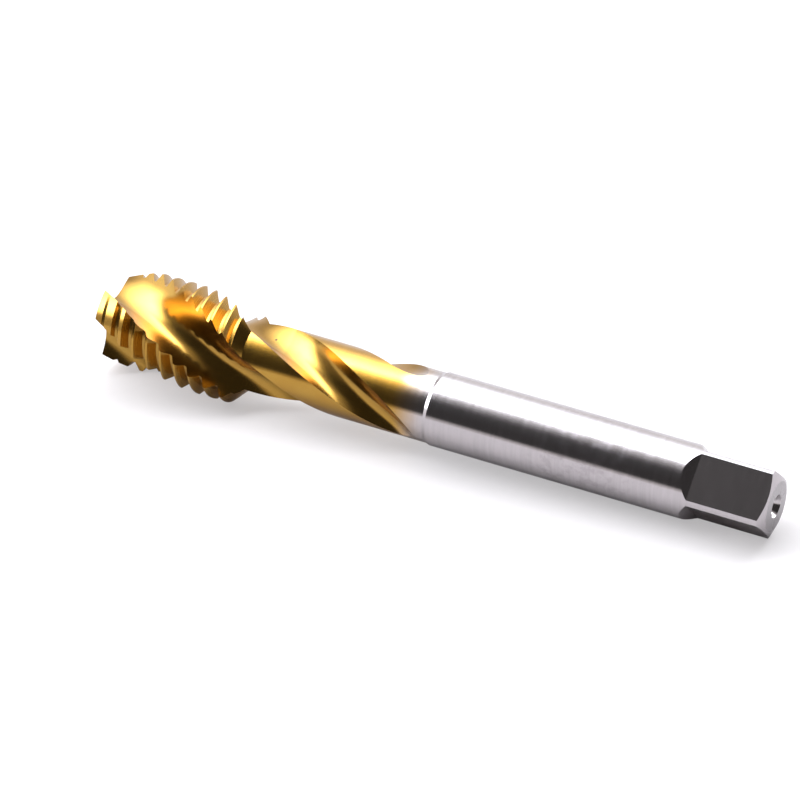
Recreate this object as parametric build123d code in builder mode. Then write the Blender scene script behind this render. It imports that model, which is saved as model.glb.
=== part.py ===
# Machine tap M12 x 1.75, spiral flute, right hand.
# One solid bar of high-speed steel, lying at rest on a flat surface.
# Millimetres, +Z up, tap axis along X with the cutting tip at -X and the
# driving square at +X; origin under the middle of the tap, on the surface.
from build123d import *
import math
import os

os.makedirs("parts", exist_ok=True)

# ---------------------------------------------------------------- dimensions
total_length = 82.0          # tip face to the end of the square
major_radius = 6.0           # thread crest radius, M12
thread_pitch = 1.75
thread_half_angle = 30.0     # flank angle of the V
crest_flat = 0.22            # flat left on each crest
root_flat = 0.30             # flat at the bottom of the groove

tip_radius = 4.75            # tip face radius
lead_length = 4.4            # chamfered lead, about two and a half threads
head_length = 16.3           # end of the full crests
head_cone = 1.85             # axial length of the cone behind the head
neck_radius = 4.09           # relief behind the threaded head
neck_end = 40.85             # step from neck to shank
step_length = 0.42           # axial length of the small cone up to the shank
shank_radius = 4.25          # full shank, diameter 8.5

square_flats = 6.5           # across flats of the driving square
square_length = 9.0          # flats at full depth
square_ramp = 1.15           # run-out of each flat onto the round shank
tail_chamfer_r = 1.35        # turned chamfer on the end of the square
tail_chamfer_a = 0.55

flute_count = 3
flute_lead = 57.8            # axial advance per turn, right hand
flute_start_angle = 14.4     # turn of the section at the tip face, degrees
flute_taper_start = 22.0      # from here the core grows slowly
flute_taper = 0.055          # rise for each mm of length
flute_taper_way = 75.0       # direction of that rise in the section, degrees
flute_runout_start = 34.8    # and from here the flute runs out
flute_runout_end = 39.7
flute_runout_lift = 1.45
flute_runout_way = 20.0

centre_rim_radius = 1.33     # 60 degree centre holes in both ends
centre_pilot_radius = 0.65
centre_depth = 2.6

thread_phase = 0.995         # axial place of a groove at angle zero

square_angle = -9.8          # normal of the first flat about the axis
down_angle = 129.1           # direction about the axis that points down
rest_slope = 1.328           # the axis dips toward the square by this much
tip_height = 6.136           # axis above the surface at the tip face
tip_x = -40.967              # tip face centre, so that the tap is centred on X

# one flute seen from the shank end at zero turn, cutting edge to heel
flute_section = [
    (2.10, 7.20), (1.58, 5.79), (1.27, 5.10), (1.10, 4.60), (0.94, 3.90),
    (0.88, 3.30), (0.90, 2.72), (1.02, 2.15), (1.30, 1.62), (1.78, 1.12),
    (2.45, 0.72), (3.20, 0.44), (4.10, 0.17), (4.93, -0.14), (5.98, -0.56),
    (7.40, -1.15),
]

# ---------------------------------------------------------------- thread groove
groove_depth = ((thread_pitch - crest_flat - root_flat) / 2.0
                / math.tan(math.radians(thread_half_angle)))
groove_root = major_radius - groove_depth
groove_over = 0.12
groove_half_root = root_flat / 2.0
groove_half_top = (groove_half_root + (groove_depth + groove_over)
                   * math.tan(math.radians(thread_half_angle)))
groove_arc = 66.0            # sweep of one cut, a little wider than a land
groove_rise = thread_pitch * groove_arc / 360.0

# one cut of the helical groove, from angle zero on, centred on its middle height
with BuildPart() as groove:
    with BuildLine() as groove_path:
        Helix(pitch=thread_pitch, height=groove_rise, radius=groove_root,
              center=(0, 0, -groove_rise / 2.0))
    with BuildSketch(Plane.XZ) as groove_profile:
        with BuildLine():
            Polyline(
                (groove_root, -groove_rise / 2.0 - groove_half_root),
                (groove_root + groove_depth + groove_over,
                 -groove_rise / 2.0 - groove_half_top),
                (groove_root + groove_depth + groove_over,
                 -groove_rise / 2.0 + groove_half_top),
                (groove_root, -groove_rise / 2.0 + groove_half_root),
                close=True)
        make_face()
    sweep(path=groove_path.line, is_frenet=True)

# ---------------------------------------------------------------- flute cutter
flute_turn_rate = 360.0 / flute_lead
land_middle = 98.0           # middle of the land next to the flute at zero turn


def flute_shift(a):
    """How far the section has moved outward at distance a from the tip."""
    rise = flute_taper * max(0.0, a - flute_taper_start)
    t = (max(0.0, a - flute_runout_start)
         / (flute_runout_end - flute_runout_start))
    lift = flute_runout_lift * t * t
    return (rise * math.cos(math.radians(flute_taper_way))
            + lift * math.cos(math.radians(flute_runout_way)),
            rise * math.sin(math.radians(flute_taper_way))
            + lift * math.sin(math.radians(flute_runout_way)))


flute_stations = ([-1.5 + 1.75 * i for i in range(21)]
                  + [34.8, 35.8, 36.8, 37.8, 38.8, 39.8, 40.8])

with BuildPart() as flute:
    for station in flute_stations:
        turn = flute_start_angle + flute_turn_rate * station
        dx, dy = flute_shift(station)
        with BuildSketch(Plane.XY.offset(station).rotated((0, 0, turn))):
            with BuildLine():
                Spline(*[(x + dx, y + dy) for x, y in flute_section])
                Line((flute_section[-1][0] + dx, flute_section[-1][1] + dy),
                     (7.6 + dx, 7.6 + dy))
                Line((7.6 + dx, 7.6 + dy),
                     (flute_section[0][0] + dx, flute_section[0][1] + dy))
            make_face()
    loft()

# ---------------------------------------------------------------- the tap, upright
with BuildPart() as upright:
    # turned blank: tip face, chamfered lead, head, neck, shank, chamfered end
    with BuildSketch(Plane.XZ):
        with BuildLine():
            Polyline(
                (0, 0),
                (tip_radius, 0),
                (major_radius, lead_length),
                (major_radius, head_length),
                (neck_radius, head_length + head_cone),
                (neck_radius, neck_end),
                (shank_radius, neck_end + step_length),
                (shank_radius, total_length - tail_chamfer_a),
                (shank_radius - tail_chamfer_r, total_length),
                (0, total_length),
                close=True)
        make_face()
    revolve(axis=Axis.Z)

    # four flats of the driving square, each running out up a ramp
    ramp_reach = 6.0
    ramp_slope = square_ramp / (shank_radius - square_flats / 2.0)
    for quarter in range(4):
        with BuildSketch(Plane.XZ.rotated((0, 0, square_angle + 90.0 * quarter))):
            with BuildLine():
                Polyline(
                    (square_flats / 2.0, total_length - square_length),
                    (square_flats / 2.0, total_length + 1.0),
                    (ramp_reach, total_length + 1.0),
                    (ramp_reach, total_length - square_length
                     - ramp_slope * (ramp_reach - square_flats / 2.0)),
                    close=True)
            make_face()
        extrude(amount=6.0, both=True, mode=Mode.SUBTRACT)

    # centre holes
    with BuildSketch(Plane.XZ):
        cone_depth = (centre_rim_radius - centre_pilot_radius) / math.tan(
            math.radians(30.0))
        with BuildLine():
            Polyline(
                (0, total_length),
                (centre_rim_radius, total_length),
                (centre_pilot_radius, total_length - cone_depth),
                (centre_pilot_radius, total_length - centre_depth),
                (0, total_length - centre_depth - 0.4),
                close=True)
        make_face()
        with BuildLine():
            Polyline(
                (0, 0),
                (centre_rim_radius, 0),
                (centre_pilot_radius, cone_depth),
                (centre_pilot_radius, centre_depth),
                (0, centre_depth + 0.4),
                close=True)
        make_face()
    revolve(axis=Axis.Z, mode=Mode.SUBTRACT)

    # flutes
    for k in range(flute_count):
        add(flute.part, rotation=(0, 0, 120.0 * k), mode=Mode.SUBTRACT)

    # thread: the groove climbs one pitch a turn, cut where it crosses each land
    for k in range(flute_count):
        for n in range(-2, 14):
            # turn at which groove n meets the middle of land k
            middle = flute_start_angle + land_middle + 120.0 * k
            height = thread_phase + thread_pitch * n
            for _ in range(6):
                turn = middle + flute_turn_rate * height
                height = thread_phase + thread_pitch * (n + turn / 360.0)
            if -0.6 < height < head_length + head_cone:
                with Locations((0, 0, height)):
                    add(groove.part, rotation=(0, 0, turn - groove_arc / 2.0),
                        mode=Mode.SUBTRACT)

# ---------------------------------------------------------------- laid at rest
slope = math.radians(rest_slope)
axis_dir = Vector(math.cos(slope), 0, -math.sin(slope))
up_dir = Vector(math.sin(slope), 0, math.cos(slope))
side_dir = axis_dir.cross(up_dir)            # up, a quarter turn on about the axis
roll = math.radians(180.0 - down_angle)
zero_dir = up_dir * math.cos(roll) + side_dir * math.sin(roll)
tip_centre = Vector(tip_x, 0, tip_height)
lying_plane = Plane(origin=tip_centre, x_dir=zero_dir, z_dir=axis_dir)

with BuildPart(lying_plane) as tap:
    add(upright.part)

tap.part.label = "tap"
export_step(tap.part, "parts/tap.step")
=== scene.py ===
import bpy
import math
import numpy as np
from mathutils import Matrix, Vector


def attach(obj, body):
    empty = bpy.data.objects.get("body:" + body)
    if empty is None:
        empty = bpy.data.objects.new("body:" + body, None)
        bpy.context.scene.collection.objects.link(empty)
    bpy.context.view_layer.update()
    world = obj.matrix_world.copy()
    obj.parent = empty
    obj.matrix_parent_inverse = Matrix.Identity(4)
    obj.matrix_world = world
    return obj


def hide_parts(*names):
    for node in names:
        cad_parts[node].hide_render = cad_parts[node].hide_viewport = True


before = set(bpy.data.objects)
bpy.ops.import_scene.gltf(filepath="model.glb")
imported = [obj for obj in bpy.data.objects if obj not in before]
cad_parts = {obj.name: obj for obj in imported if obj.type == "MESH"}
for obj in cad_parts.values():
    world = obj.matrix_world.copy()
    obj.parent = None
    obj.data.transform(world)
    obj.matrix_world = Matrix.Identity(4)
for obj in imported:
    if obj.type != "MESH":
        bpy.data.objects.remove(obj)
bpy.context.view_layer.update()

# ------------------------------------------------------------------ dimensions, mm
LENGTH = 82.0
MAJOR = 6.0
PITCH = 1.75
CREST = 0.22
ROOT = 0.30
TIP_R = 4.75
LEAD = 4.4
HEAD = 16.3
CONE = 1.85
NECK_R = 4.09
NECK_END = 40.85
STEP_A = 0.42
SHANK_R = 4.25
FLATS = 6.5
SQUARE = 9.0
RAMP = 1.15
TAIL_CH_R = 1.35
TAIL_CH_A = 0.55
FLUTE_LEAD = 57.8
FLUTE_START = 14.4
RIM_R = 1.33
PILOT_R = 0.65
CENTRE_DEPTH = 2.6
PHASE = 0.995
SQUARE_ANGLE = -9.8
DOWN = 129.1
SLOPE = 1.328
TIP_X, TIP_Z = -40.967, 6.136
TAN30 = math.tan(math.radians(30.0))

DEPTH = ((PITCH - CREST - ROOT) / 2.0) / TAN30
ROOT_R = MAJOR - DEPTH
RATE = 2.0 * math.pi / FLUTE_LEAD

# the tap's own directions in the frame
d = math.radians(SLOPE)
AXIS = np.array([math.cos(d), 0.0, -math.sin(d)])
UP = np.array([math.sin(d), 0.0, math.cos(d)])
SIDE = np.cross(AXIS, UP)
roll = math.radians(180.0 - DOWN)
ZERO = UP * math.cos(roll) + SIDE * math.sin(roll)
THIRD = np.cross(AXIS, ZERO)
TIP = np.array([TIP_X, 0.0, TIP_Z])


def to_world(p):
    """Upright tap coordinates (x, y, a) in mm to the frame in metres."""
    p = np.asarray(p, float)
    return (TIP + p[:, :1] * ZERO + p[:, 1:2] * THIRD + p[:, 2:3] * AXIS) * 0.001


# ------------------------------------------------------------------ materials
TAP_MM = 1000.0
GOLD = (0.540, 0.300, 0.041)
STEEL = (0.600, 0.560, 0.572)


class Tree:
    """A short way to write a node tree."""

    def __init__(self, mat):
        mat.use_nodes = True
        self.t = mat.node_tree
        self.t.nodes.clear()

    def node(self, kind, **props):
        n = self.t.nodes.new(kind)
        for k, v in props.items():
            setattr(n, k, v)
        return n

    def put(self, socket, value):
        if isinstance(value, bpy.types.NodeSocket):
            self.t.links.new(value, socket)
        else:
            socket.default_value = value

    def math(self, op, a, b=0.0, clamp=False):
        n = self.node("ShaderNodeMath", operation=op, use_clamp=clamp)
        self.put(n.inputs[0], a)
        self.put(n.inputs[1], b)
        return n.outputs[0]

    def dot(self, v, w):
        n = self.node("ShaderNodeVectorMath", operation="DOT_PRODUCT")
        self.put(n.inputs[0], v)
        self.put(n.inputs[1], tuple(float(x) for x in w))
        return n.outputs["Value"]

    def xyz(self, x, y, z):
        n = self.node("ShaderNodeCombineXYZ")
        for s, v in zip(n.inputs, (x, y, z)):
            self.put(s, v)
        return n.outputs[0]

    def noise(self, vec, scale, detail=2.0, rough=0.5, distortion=0.0):
        n = self.node("ShaderNodeTexNoise", noise_dimensions="3D")
        self.put(n.inputs["Vector"], vec)
        self.put(n.inputs["Scale"], scale)
        self.put(n.inputs["Detail"], detail)
        self.put(n.inputs["Roughness"], rough)
        self.put(n.inputs["Distortion"], distortion)
        return n.outputs[0]

    def span(self, v, lo, hi, a=0.0, b=1.0, kind="SMOOTHSTEP"):
        n = self.node("ShaderNodeMapRange", interpolation_type=kind, clamp=True)
        self.put(n.inputs[0], v)
        for s, x in zip(n.inputs[1:5], (lo, hi, a, b)):
            self.put(s, x)
        return n.outputs[0]

    def mix(self, fac, a, b):
        n = self.node("ShaderNodeMix", data_type="RGBA", clamp_factor=True)
        self.put(n.inputs[0], fac)
        for s, v in ((n.inputs[6], a), (n.inputs[7], b)):
            self.put(s, v if isinstance(v, bpy.types.NodeSocket) else (*v, 1.0))
        return n.outputs[2]

    def bump(self, height, strength, distance, normal=None):
        n = self.node("ShaderNodeBump")
        self.put(n.inputs["Strength"], strength)
        self.put(n.inputs["Distance"], distance)
        self.put(n.inputs["Height"], height)
        if normal is not None:
            self.put(n.inputs["Normal"], normal)
        return n.outputs[0]


def metal(name, marks, rough, aniso, marks_depth, recess_painted_shade=1.0):
    """One finish of the tap. marks says how the surface was ground: round, helix, flute or flat."""
    mat = bpy.data.materials.new(name)
    t = Tree(mat)
    pos = t.node("ShaderNodeTexCoord").outputs["Object"]
    rel = t.node("ShaderNodeVectorMath", operation="SUBTRACT")
    t.put(rel.inputs[0], pos)
    t.put(rel.inputs[1], tuple(TIP * 0.001))
    rel = rel.outputs[0]
    a = t.dot(rel, AXIS * TAP_MM)
    x = t.dot(rel, ZERO * TAP_MM)
    y = t.dot(rel, THIRD * TAP_MM)
    theta = t.math("ARCTAN2", y, x)
    r = t.math("SQRT", t.math("ADD", t.math("MULTIPLY", x, x), t.math("MULTIPLY", y, y)))

    def around(angle, k):
        return t.math("MULTIPLY", t.math("COSINE", angle), k), t.math("MULTIPLY", t.math("SINE", angle), k)

    if marks == "round":
        c, s = around(theta, 0.9)
        fine = t.xyz(t.math("MULTIPLY", a, 26.0), c, s)
        broad = t.xyz(t.math("MULTIPLY", a, 3.1), c, s)
    elif marks == "helix":
        climb = t.math("SUBTRACT", a, t.math("MULTIPLY", theta, PITCH / (2 * math.pi)))
        c, s = around(theta, 0.8)
        fine = t.xyz(t.math("ADD", t.math("MULTIPLY", r, 22.0), t.math("MULTIPLY", climb, 9.0)), c, s)
        broad = t.xyz(t.math("MULTIPLY", r, 3.0), c, s)
    elif marks == "flute":
        turn = t.math("SUBTRACT", theta, t.math("MULTIPLY", a, RATE))
        c, s = around(turn, 1.0)
        c, s = t.math("MULTIPLY", c, r), t.math("MULTIPLY", s, r)
        fine = t.xyz(t.math("MULTIPLY", c, 14.0), t.math("MULTIPLY", s, 14.0), t.math("MULTIPLY", a, 0.55))
        broad = t.xyz(t.math("MULTIPLY", c, 1.7), t.math("MULTIPLY", s, 1.7), t.math("MULTIPLY", a, 0.16))
    else:
        fine = t.xyz(t.math("MULTIPLY", a, 26.0), t.math("MULTIPLY", x, 0.9), t.math("MULTIPLY", y, 0.9))
        broad = t.xyz(t.math("MULTIPLY", a, 2.4), t.math("MULTIPLY", x, 0.25), t.math("MULTIPLY", y, 0.25))
    lines = t.noise(fine, 1.0, 3.0, 0.65)
    drift = t.noise(broad, 1.0, 2.0, 0.5)
    cloud = t.noise(t.xyz(x, y, t.math("MULTIPLY", a, 0.7)), 0.55, 3.0, 0.55)

    # the coating fades out over the last millimetres of the neck
    fade = t.span(t.math("ADD", a, t.math("MULTIPLY", t.math("SUBTRACT", cloud, 0.5), 1.2)), 36.6, 41.2)

    # recess_painted_shade below 1 darkens the gold as painted shade inside the thread and flutes
    gold_deep = tuple(v * k * recess_painted_shade for v, k in zip(GOLD, (0.95, 0.90, 0.80)))
    gold_pale = tuple(min(1.0, v * k * recess_painted_shade) for v, k in zip(GOLD, (1.03, 1.05, 1.12)))
    gold = t.mix(t.span(cloud, 0.25, 0.75, 0.0, 1.0, "LINEAR"), gold_deep, gold_pale)
    calm = 0.4 if marks == "flat" else 1.0
    steel_dark = tuple(v * (1.0 - 0.10 * calm) for v in STEEL)
    steel_pale = tuple(v * (1.0 + 0.06 * calm) for v in STEEL)
    steel = t.mix(t.span(t.math("ADD", t.math("MULTIPLY", drift, 0.6), t.math("MULTIPLY", lines, 0.4)), 0.3, 0.7, 0.0, 1.0, "LINEAR"), steel_dark, steel_pale)
    colour = t.mix(fade, gold, steel)
    if marks == "round":
        # the faced ends are rougher than the ground cylinder; their darker colour is painted shade, standing in for the
        # dark reflection the ends catch
        facing = t.dot(t.node("ShaderNodeNewGeometry").outputs["True Normal"], AXIS)
        end = t.span(t.math("ABSOLUTE", facing), 0.93, 0.97)
        end_painted_shade = t.mix(fade, tuple(v * 0.85 for v in GOLD), tuple(v * 0.68 for v in STEEL))
        colour = t.mix(end, colour, end_painted_shade)
        # faint mottling, as from handling, around the middle of the shank
        near = t.math("MULTIPLY", t.span(a, 52.0, 57.0), t.span(a, 63.0, 69.0, 1.0, 0.0))
        spots = t.noise(t.xyz(x, y, t.math("MULTIPLY", a, 0.8)), 0.9, 4.0, 0.6)
        spots = t.math("MULTIPLY", near, t.span(spots, 0.45, 0.62))
        colour = t.mix(t.math("MULTIPLY", spots, 0.55), colour, tuple(v * k for v, k in zip(STEEL, (0.74, 0.71, 0.73))))

    spread = t.math("ADD", t.math("MULTIPLY", t.math("SUBTRACT", lines, 0.5), 0.12), t.math("MULTIPLY", t.math("SUBTRACT", drift, 0.5), 0.08))
    if marks == "flat":
        spread = t.math("MULTIPLY", spread, 0.5)
    if marks == "flute":
        # one small dark pit in a flute of the neck
        pit = t.node("ShaderNodeVectorMath", operation="DISTANCE")
        t.put(pit.inputs[0], pos)
        t.put(pit.inputs[1], (-0.02074, 0.00110, 0.007745))
        pit = t.span(pit.outputs["Value"], 0.00007, 0.00019, 1.0, 0.0)
        colour = t.mix(pit, colour, (0.040, 0.028, 0.016))
        spread = t.math("ADD", spread, t.math("MULTIPLY", pit, 0.3))
    roughness = t.math("ADD", spread, t.math("SUBTRACT", rough + 0.05, t.math("MULTIPLY", fade, 0.05)), clamp=True)
    if marks == "round":
        roughness = t.math("ADD", roughness, t.math("MULTIPLY", end, 0.14), clamp=True)
        roughness = t.math("ADD", roughness, t.math("MULTIPLY", spots, 0.06), clamp=True)

    b = t.node("ShaderNodeBsdfPrincipled")
    t.put(b.inputs["Base Color"], colour)
    b.inputs["Metallic"].default_value = 1.0
    t.put(b.inputs["Roughness"], roughness)
    b.inputs["Coat Weight"].default_value = 0.6          # thin film of oil
    b.inputs["Coat IOR"].default_value = 1.5
    b.inputs["Coat Roughness"].default_value = 0.17
    b.inputs["Anisotropic"].default_value = aniso
    if aniso:
        t.put(b.inputs["Tangent"], t.xyz(*[float(v) for v in AXIS]))
    t.put(b.inputs["Normal"], t.bump(t.math("ADD", lines, t.math("MULTIPLY", drift, 0.5)), 1.0, marks_depth))
    out = t.node("ShaderNodeOutputMaterial")
    t.put(out.inputs["Surface"], b.outputs[0])
    return mat


mat_ground = metal("ground_round", "round", 0.14, 0.55, 0.0000014)
# the thread and the flutes take a gold 0.87 times as bright: painted shade in these recesses
mat_thread = metal("ground_thread", "helix", 0.20, 0.0, 0.0000014, 0.87)
mat_flute = metal("ground_flute", "flute", 0.125, 0.0, 0.0000010, 0.87)
mat_flat = metal("ground_flat", "flat", 0.12, 0.0, 0.0000006)
MATS = [mat_ground, mat_thread, mat_flute, mat_flat]


# ------------------------------------------------------------------ solid pieces to cut with
def make(name, verts, faces, index):
    me = bpy.data.meshes.new(name)
    me.from_pydata([tuple(map(float, v)) for v in verts], [], [tuple(int(i) for i in f) for f in faces])
    for m in MATS:
        me.materials.append(m)
    me.polygons.foreach_set("material_index", [index] * len(me.polygons))
    me.validate()
    me.update()
    o = bpy.data.objects.new(name, me)
    bpy.context.scene.collection.objects.link(o)
    return o


def tube(rings, closed_ring=True):
    """Quads between rings of equal length, and an n-gon at each end."""
    n = len(rings[0])
    verts = np.concatenate(rings)
    faces = []
    for i in range(len(rings) - 1):
        for j in range(n):
            k = (j + 1) % n
            faces.append((i * n + j, i * n + k, (i + 1) * n + k, (i + 1) * n + j))
    faces.append(tuple(range(n))[::-1])
    faces.append(tuple(range((len(rings) - 1) * n, len(rings) * n)))
    return verts, faces


# turned blank, as corners (radius, distance from the tip)
cone_depth = (RIM_R - PILOT_R) / TAN30
CORNERS = [
    (0.0, CENTRE_DEPTH + 0.4), (PILOT_R, CENTRE_DEPTH), (PILOT_R, cone_depth), (RIM_R, 0.0),
    (TIP_R, 0.0), (MAJOR, LEAD), (MAJOR, HEAD), (NECK_R, HEAD + CONE),
    (NECK_R, NECK_END), (SHANK_R, NECK_END + STEP_A), (SHANK_R, LENGTH - TAIL_CH_A),
    (SHANK_R - TAIL_CH_R, LENGTH), (RIM_R, LENGTH), (PILOT_R, LENGTH - cone_depth),
    (PILOT_R, LENGTH - CENTRE_DEPTH), (0.0, LENGTH - CENTRE_DEPTH - 0.4),
]
profile = []
for (r0, a0), (r1, a1) in zip(CORNERS, CORNERS[1:]):
    span = math.hypot(r1 - r0, a1 - a0)
    step = 0.55 if max(a0, a1) < 42.0 else 2.4
    n = max(1, int(round(span / step)))
    for i in range(n):
        profile.append((r0 + (r1 - r0) * i / n, a0 + (a1 - a0) * i / n))
profile.append(CORNERS[-1])

SEG = 300
ang = np.arange(SEG) * 2 * np.pi / SEG
verts, faces = [(0.0, 0.0, profile[0][1])], []
for r_, a_ in profile[1:-1]:
    verts += [(r_ * math.cos(t), r_ * math.sin(t), a_) for t in ang]
verts.append((0.0, 0.0, profile[-1][1]))
last = len(verts) - 1
rows = len(profile) - 2
for j in range(SEG):
    k = (j + 1) % SEG
    faces.append((0, 1 + j, 1 + k))
    for i in range(rows - 1):
        p0, p1 = 1 + i * SEG, 1 + (i + 1) * SEG
        faces.append((p0 + j, p1 + j, p1 + k, p0 + k))
    p0 = 1 + (rows - 1) * SEG
    faces.append((p0 + j, last, p0 + k))
blank = make("blank", verts, faces, 0)

# helical groove between the crests
OVER = 0.12
half_root = ROOT / 2.0
half_top = half_root + (DEPTH + OVER) * TAN30
rings = []
for th in np.arange(-2.0 * 360.0, 11.6 * 360.0, 3.0):
    a0 = PHASE + PITCH * th / 360.0
    c, s = math.cos(math.radians(th)), math.sin(math.radians(th))
    q = [(ROOT_R, -half_root), (MAJOR + OVER, -half_top), (MAJOR + OVER, half_top), (ROOT_R, half_root)]
    rings.append(np.array([(r_ * c, r_ * s, a0 + h) for r_, h in q]))
groove = make("groove", *tube(rings), 1)


# flutes
SECTION = np.array([
    (2.10, 7.20), (1.58, 5.79), (1.27, 5.10), (1.10, 4.60), (0.94, 3.90),
    (0.88, 3.30), (0.90, 2.72), (1.02, 2.15), (1.30, 1.62), (1.78, 1.12),
    (2.45, 0.72), (3.20, 0.44), (4.10, 0.17), (4.93, -0.14), (5.98, -0.56),
    (7.40, -1.15)])


def spline(pts, count):
    """A smooth curve through the points, sampled evenly by length."""
    t = np.concatenate([[0], np.cumsum(np.hypot(*np.diff(pts, axis=0).T))])
    n = len(t)
    h = np.diff(t)
    A = np.zeros((n, n))
    B = np.zeros((n, 2))
    for i in range(1, n - 1):
        A[i, i - 1], A[i, i], A[i, i + 1] = h[i - 1], 2 * (h[i - 1] + h[i]), h[i]
        B[i] = 6 * ((pts[i + 1] - pts[i]) / h[i] - (pts[i] - pts[i - 1]) / h[i - 1])
    # not-a-knot ends
    A[0, 0], A[0, 1], A[0, 2] = h[1], -(h[0] + h[1]), h[0]
    A[-1, -1], A[-1, -2], A[-1, -3] = h[-2], -(h[-1] + h[-2]), h[-1]
    M = np.linalg.solve(A, B)

    def at(s):
        i = np.clip(np.searchsorted(t, s) - 1, 0, n - 2)
        u, v, hh = (t[i + 1] - s)[:, None], (s - t[i])[:, None], h[i][:, None]
        return (M[i] * u ** 3 + M[i + 1] * v ** 3) / (6 * hh) + (pts[i] / hh - M[i] * hh / 6) * u + (pts[i + 1] / hh - M[i + 1] * hh / 6) * v

    fine = at(np.linspace(0, t[-1], 4001))
    run = np.concatenate([[0], np.cumsum(np.hypot(*np.diff(fine, axis=0).T))])
    want = np.linspace(0, run[-1], count)
    return np.stack([np.interp(want, run, fine[:, k]) for k in (0, 1)], 1)


CURVE = spline(SECTION, 61)
CURVE_FINE = spline(SECTION, 1601)


def shift(a):
    a = np.asarray(a, float)
    rise = 0.055 * np.maximum(0.0, a - 22.0)
    lift = 1.45 * (np.maximum(0.0, a - 34.8) / (39.7 - 34.8)) ** 2
    w, v = math.radians(75.0), math.radians(20.0)
    return np.stack([rise * math.cos(w) + lift * math.cos(v), rise * math.sin(w) + lift * math.sin(v)], -1)


cutters = []
for k in range(3):
    rings = []
    for a_ in np.arange(-1.5, 41.01, 0.34):
        sh = shift(a_)
        ring = np.concatenate([CURVE + sh, [[7.6 + sh[0], 7.6 + sh[1]]]])
        t_ = math.radians(FLUTE_START + 120.0 * k) + RATE * a_
        c, s = math.cos(t_), math.sin(t_)
        rings.append(np.stack([ring[:, 0] * c - ring[:, 1] * s, ring[:, 0] * s + ring[:, 1] * c, np.full(len(ring), a_)], 1))
    cutters.append(make(f"flute_{k}", *tube(rings), 2))

# flats of the square
ramp_slope = RAMP / (SHANK_R - FLATS / 2.0)
for k in range(4):
    t_ = math.radians(SQUARE_ANGLE + 90.0 * k)
    n_, s_ = np.array([math.cos(t_), math.sin(t_)]), np.array([-math.sin(t_), math.cos(t_)])
    side = [(FLATS / 2, LENGTH - SQUARE), (FLATS / 2, LENGTH + 1), (6.0, LENGTH + 1),
            (6.0, LENGTH - SQUARE - ramp_slope * (6.0 - FLATS / 2))]
    rings = []
    for w in (-6.0, 6.0):
        rings.append(np.array([(*(n_ * q + s_ * w), a_) for q, a_ in side]))
    cutters.append(make(f"flat_{k}", *tube(rings), 3))

for o in [blank, groove, *cutters]:
    # outward faces on every solid
    me = o.data
    me.calc_loop_triangles()
    co = np.empty(len(me.vertices) * 3)
    me.vertices.foreach_get("co", co)
    co = co.reshape(-1, 3)
    tri = np.empty(len(me.loop_triangles) * 3, int)
    me.loop_triangles.foreach_get("vertices", tri)
    T = co[tri.reshape(-1, 3)]
    vol = np.einsum("ij,ij->i", T[:, 0], np.cross(T[:, 1], T[:, 2])).sum() / 6
    if vol < 0:
        me.flip_normals()

for o in [groove, *cutters]:
    m = blank.modifiers.new("cut", "BOOLEAN")
    m.operation = "DIFFERENCE"
    m.object = o
    m.solver = "MANIFOLD"
    m.material_mode = "INDEX"

deps = bpy.context.evaluated_depsgraph_get()
cut = bpy.data.meshes.new_from_object(blank.evaluated_get(deps), preserve_all_data_layers=True, depsgraph=deps)
for o in [blank, groove, *cutters]:
    bpy.data.objects.remove(o, do_unlink=True)

# ------------------------------------------------------------------ tidy, then true normals
import bmesh
bm = bmesh.new()
bm.from_mesh(cut)
bmesh.ops.triangulate(bm, faces=bm.faces[:])
bmesh.ops.remove_doubles(bm, verts=bm.verts[:], dist=0.0004)
bmesh.ops.dissolve_degenerate(bm, edges=bm.edges[:], dist=0.0004)

# slivers that hang free of the solid go
bm.faces.index_update()
seen = [False] * len(bm.faces)
stray = []
for first in bm.faces:
    if seen[first.index]:
        continue
    seen[first.index] = True
    island, todo = [], [first]
    while todo:
        face = todo.pop()
        island.append(face)
        for edge in face.edges:
            if len(edge.link_faces) == 2:
                for other in edge.link_faces:
                    if not seen[other.index]:
                        seen[other.index] = True
                        todo.append(other)
    if len(island) < 20:
        stray += island
bmesh.ops.delete(bm, geom=stray, context="FACES")
print("stray faces dropped:", len(stray), "edges not shared by two faces:", sum(len(e.link_faces) != 2 for e in bm.edges))
bm.to_mesh(cut)
bm.free()

nv, nl, nf = len(cut.vertices), len(cut.loops), len(cut.polygons)
co = np.empty(nv * 3)
cut.vertices.foreach_get("co", co)
co = co.reshape(-1, 3)
lv = np.empty(nl, int)
cut.loops.foreach_get("vertex_index", lv)
start = np.empty(nf, int)
total = np.empty(nf, int)
mi = np.empty(nf, int)
cut.polygons.foreach_get("loop_start", start)
cut.polygons.foreach_get("loop_total", total)
cut.polygons.foreach_get("material_index", mi)
fn = np.empty(nf * 3)
cut.polygons.foreach_get("normal", fn)
fn = fn.reshape(-1, 3)
face_of = np.repeat(np.arange(nf), total)
order = np.argsort(start)
assert (start == np.concatenate([[0], np.cumsum(total)[:-1]])).all()
P = co[lv]
FN = fn[face_of]
cen = np.stack([np.bincount(face_of, P[:, k], nf) for k in range(3)], 1) / total[:, None]
normals = FN.copy()


def unit(v):
    return v / np.maximum(np.linalg.norm(v, axis=-1, keepdims=True), 1e-12)


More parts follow.
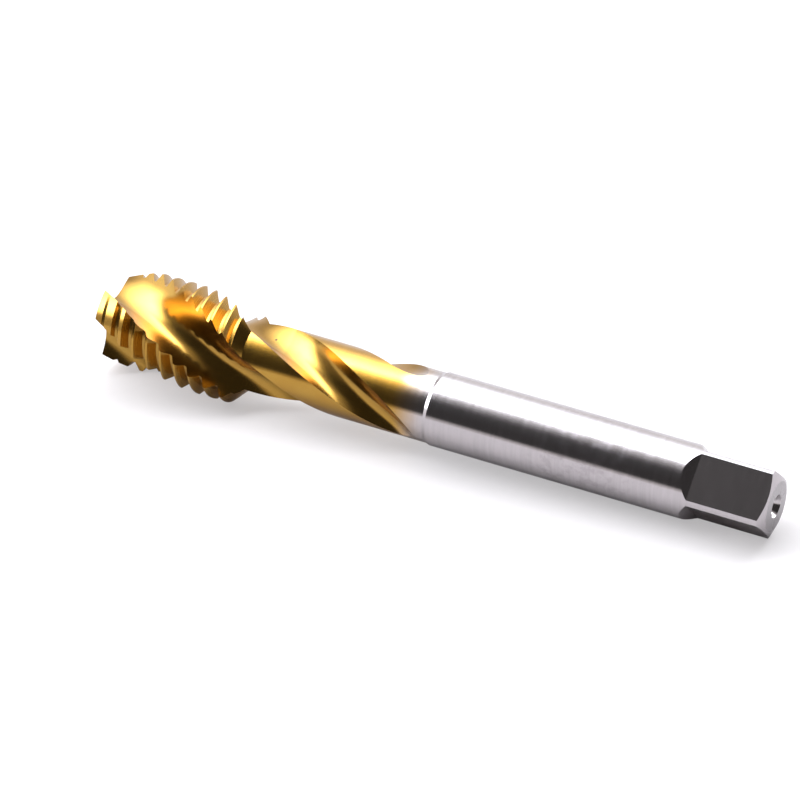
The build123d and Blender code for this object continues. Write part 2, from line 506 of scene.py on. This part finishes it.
# blank: the nearest stretch of the profile whose own normal agrees
seg = np.array([(*p0, *p1) for p0, p1 in zip(CORNERS, CORNERS[1:])])
d_r, d_a = seg[:, 2] - seg[:, 0], seg[:, 3] - seg[:, 1]
ln = np.hypot(d_r, d_a)
seg_n = np.stack([d_a / ln, -d_r / ln], 1)
is_b = mi == 0
rc, ac = np.hypot(cen[:, 0], cen[:, 1]), cen[:, 2]
u_ = ((rc[:, None] - seg[:, 0]) * d_r + (ac[:, None] - seg[:, 1]) * d_a) / ln ** 2
u_ = np.clip(u_, 0, 1)
dist = np.hypot(rc[:, None] - seg[:, 0] - u_ * d_r, ac[:, None] - seg[:, 1] - u_ * d_a)
rad_n = (fn[:, 0] * cen[:, 0] + fn[:, 1] * cen[:, 1]) / np.maximum(rc, 1e-9)
agree = rad_n[:, None] * seg_n[:, 0] + fn[:, 2][:, None] * seg_n[:, 1]
which = np.argmin(dist + np.where(np.abs(agree) > 0.97, 0.0, 5.0), 1)
L = is_b[face_of]
rr = np.hypot(P[:, 0], P[:, 1])
cs = np.stack([P[:, 0], P[:, 1]], 1) / np.maximum(rr, 1e-9)[:, None]
near_axis = rr < 1e-4
cc = cen[face_of][:, :2]
cs[near_axis] = cc[near_axis] / np.maximum(np.linalg.norm(cc[near_axis], axis=1), 1e-9)[:, None]
sn = seg_n[which[face_of]]
nb = np.stack([cs[:, 0] * sn[:, 0], cs[:, 1] * sn[:, 0], sn[:, 1]], 1)
normals[L] = nb[L]

# thread: root and the two flanks
is_g = mi == 1
L = is_g[face_of]
flank = np.abs(fn[:, 2]) > 0.4
for sgn in (1.0, -1.0):
    # material lies beyond the flank, so its outward normal points back into the groove
    sel = L & (flank & (np.sign(fn[:, 2]) == -sgn))[face_of]
    th = np.arctan2(P[:, 1], P[:, 0])
    er = cs
    et = np.stack([-cs[:, 1], cs[:, 0]], 1)
    gr, gt = -sgn * TAN30, -PITCH / (2 * np.pi * np.maximum(rr, 1e-6))
    g = np.stack([er[:, 0] * gr + et[:, 0] * gt, er[:, 1] * gr + et[:, 1] * gt, np.ones(nl)], 1)
    normals[sel] = -sgn * unit(g)[sel]
sel = L & (~flank)[face_of]
normals[sel] = np.stack([cs[:, 0], cs[:, 1], np.zeros(nl)], 1)[sel]

# flutes: tangent of the section crossed with the way it travels
for k in range(3):
    t_ = math.radians(FLUTE_START + 120.0 * k) + RATE * cen[:, 2]
    c, s = np.cos(t_), np.sin(t_)
    q = np.stack([cen[:, 0] * c + cen[:, 1] * s, -cen[:, 0] * s + cen[:, 1] * c], 1) - shift(cen[:, 2])
    ids = np.nonzero(mi == 2)[0]
    dd = np.full(nf, 9.0)
    for i0 in range(0, len(ids), 4000):
        part = ids[i0:i0 + 4000]
        dd[part] = np.sqrt(((q[part][:, None] - CURVE_FINE[None, ::8]) ** 2).sum(2).min(1))
    mine = (mi == 2) & (dd < 0.12)
    sel = np.nonzero(mine[face_of])[0]
    a_ = P[sel, 2]
    t_ = math.radians(FLUTE_START + 120.0 * k) + RATE * a_
    c, s = np.cos(t_), np.sin(t_)
    sh = shift(a_)
    dsh = (shift(a_ + 1e-3) - shift(a_ - 1e-3)) / 2e-3
    ql = np.stack([P[sel, 0] * c + P[sel, 1] * s, -P[sel, 0] * s + P[sel, 1] * c], 1)
    loc = ql - sh
    near = np.empty(len(sel), int)
    for i0 in range(0, len(sel), 4000):
        near[i0:i0 + 4000] = ((loc[i0:i0 + 4000][:, None] - CURVE_FINE[None]) ** 2).sum(2).argmin(1)
    near = np.clip(near, 1, len(CURVE_FINE) - 2)
    T = unit(CURVE_FINE[near + 1] - CURVE_FINE[near - 1])
    D = np.stack([-RATE * ql[:, 1] + dsh[:, 0], RATE * ql[:, 0] + dsh[:, 1]], 1)
    nx, ny = T[:, 1], -T[:, 0]
    nz = T[:, 0] * D[:, 1] - T[:, 1] * D[:, 0]
    n3 = np.stack([nx * c - ny * s, nx * s + ny * c, nz], 1)
    n3 = unit(n3)
    flip = np.sign((n3 * FN[sel]).sum(1))
    flip[flip == 0] = 1
    normals[sel] = n3 * flip[:, None]

off = (normals * FN).sum(1)
print("normals off:", int((off < 0.8).sum()), "of", nl, "tris", int((total - 2).sum()), "mats", np.bincount(mi, minlength=4))
bad = off < 0.8
normals[bad] = FN[bad]

# into the frame
turn = np.stack([ZERO, THIRD, AXIS])
world = to_world(co)
cut.vertices.foreach_set("co", world.astype(np.float32).ravel())
cut.polygons.foreach_set("use_smooth", np.ones(nf, bool))
cut.update()
cut.normals_split_custom_set((normals @ turn).astype(np.float32))
cut.name = "tap_body"
body = bpy.data.objects.new("tap_body", cut)
bpy.context.scene.collection.objects.link(body)
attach(body, "root")
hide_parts("tap")

# ------------------------------------------------------------------ floor
fm = bpy.data.materials.new("floor_paper")
t = Tree(fm)
fb = t.node("ShaderNodeBsdfPrincipled")
grain = t.noise(t.node("ShaderNodeTexCoord").outputs["Object"], 900.0, 3.0)
t.put(fb.inputs["Base Color"], t.mix(grain, (0.415, 0.393, 0.391), (0.440, 0.417, 0.414)))
fb.inputs["Roughness"].default_value = 0.9
fb.inputs["Specular IOR Level"].default_value = 0.1
fb.inputs["Emission Color"].default_value = (1.0, 0.985, 1.0, 1.0)
t.put(fb.inputs["Emission Strength"], t.math("MULTIPLY", t.node("ShaderNodeLightPath").outputs["Is Camera Ray"], 0.42))
t.put(t.node("ShaderNodeOutputMaterial").inputs["Surface"], fb.outputs[0])
me = bpy.data.meshes.new("floor")
S = 4.0
me.from_pydata([(-S, -S, 0), (S, -S, 0), (S, S, 0), (-S, S, 0)], [], [(0, 1, 2, 3)])
me.materials.append(fm)
floor = bpy.data.objects.new("floor", me)
bpy.context.scene.collection.objects.link(floor)

# ------------------------------------------------------------------ light: one large soft box up and behind on the left, dark to the right
world_ = bpy.data.worlds.new("studio")
bpy.context.scene.world = world_
world_.use_nodes = True
wt = Tree(world_)
sky = wt.node("ShaderNodeTexCoord").outputs["Generated"]


def toward(v, lo, hi, a=0.0, b=1.0):
    """Rises smoothly from a to b as the direction turns toward v."""
    return wt.span(wt.dot(sky, v / np.linalg.norm(v)), lo, hi, a, b)


edge = wt.math("SUBTRACT", wt.dot(sky, (-0.603, 0.754, 0.261)), 0.285)
lobe = toward(np.array([-0.841, 0.193, 0.506]), 0.697, 0.868)
main = wt.span(edge, -0.07, 0.30)
box = wt.math("MAXIMUM", wt.math("MULTIPLY", main, main), lobe)
box = wt.math("MULTIPLY", box, toward(np.array([0.742, -0.670, -0.011]), -1.01, 0.02))
box = wt.math("MULTIPLY", box, toward(np.array([1.0, 0.0, 0.0]), -0.95, -0.88))
box = wt.math("MULTIPLY", box, toward(np.array([1.0, 0.0, 0.0]), -0.70, 0.45, 16.0, 9.0))
spill = wt.span(edge, -0.42, 0.02)
spill = wt.math("MULTIPLY", wt.math("MULTIPLY", spill, spill), 0.45)
left = toward(np.array([-1.0, 0.0, 0.0]), 0.72, 0.97, 0.0, 1.70)
back = toward(np.array([0.0, 1.0, 0.0]), 0.35, 0.80, 0.0, 0.95)
room = toward(np.array([-1.0, 0.0, 0.0]), 0.35, 0.80, 0.045, 0.25)
foot = wt.math("MULTIPLY", toward(np.array([0.0, 0.0, 1.0]), 0.02, 0.19, 0.60, 0.0), toward(np.array([1.0, 0.0, 0.0]), -0.75, -0.30))
soft = wt.math("MAXIMUM", wt.math("MAXIMUM", left, back), wt.math("ADD", room, foot))
light = wt.math("MAXIMUM", wt.math("MAXIMUM", soft, wt.math("ADD", room, spill)), box)
bg = wt.node("ShaderNodeBackground")
tint = wt.mix(wt.span(light, 0.6, 2.0), (1.0, 0.955, 0.955), (0.94, 0.985, 1.04))
wt.put(bg.inputs["Color"], tint)
wt.put(bg.inputs["Strength"], light)
seen = wt.node("ShaderNodeBackground")
seen.inputs["Color"].default_value = (1.0, 1.0, 1.0, 1.0)
seen.inputs["Strength"].default_value = 1.0
lp = wt.node("ShaderNodeLightPath")
mixw = wt.node("ShaderNodeMixShader")
wt.put(mixw.inputs[0], lp.outputs["Is Camera Ray"])
wt.put(mixw.inputs[1], bg.outputs[0])
wt.put(mixw.inputs[2], seen.outputs[0])
wo = wt.node("ShaderNodeOutputWorld")
wt.put(wo.inputs["Surface"], mixw.outputs[0])

bpy.context.scene.view_settings.view_transform = "Standard"
bpy.context.scene.view_settings.look = "None"

# ------------------------------------------------------------------ camera, from the fit of the view
cu, cw, cv = np.array([0.8995, -0.2612, -0.3502]), np.array([-0.3363, 0.0977, -0.9367]), np.array([0.2788, 0.9603, 0.0])
cu = unit(cu)
cv = unit(cv - cu * (cv @ cu))
cw = np.cross(cv, cu)
F_PX = 6770.0
depth = 741.0
Ct = np.array([(776.25 - 400) / F_PX * depth, -(506.3 - 400) / F_PX * depth, depth])
W = np.stack([AXIS, ZERO, np.cross(ZERO, AXIS)], 1)
C = np.stack([cu, cw, cv], 1)
R = W @ C.T
tail = TIP + AXIS * LENGTH
eye = (tail - R @ Ct) * 0.001
cam_data = bpy.data.cameras.new("camera")
cam_data.sensor_width = 36.0
cam_data.lens = F_PX * 36.0 / 800.0
cam_data.clip_start = 0.01
cam = bpy.data.objects.new("camera", cam_data)
bpy.context.scene.collection.objects.link(cam)
M = Matrix.Identity(4)
for i in range(3):
    M[i][0], M[i][1], M[i][2], M[i][3] = float(R[i, 0]), float(R[i, 1]), float(-R[i, 2]), float(eye[i])
cam.matrix_world = M
bpy.context.scene.camera = cam
print("camera at", eye, "elevation", math.degrees(math.asin(-R[2, 2])), "det", np.linalg.det(R))
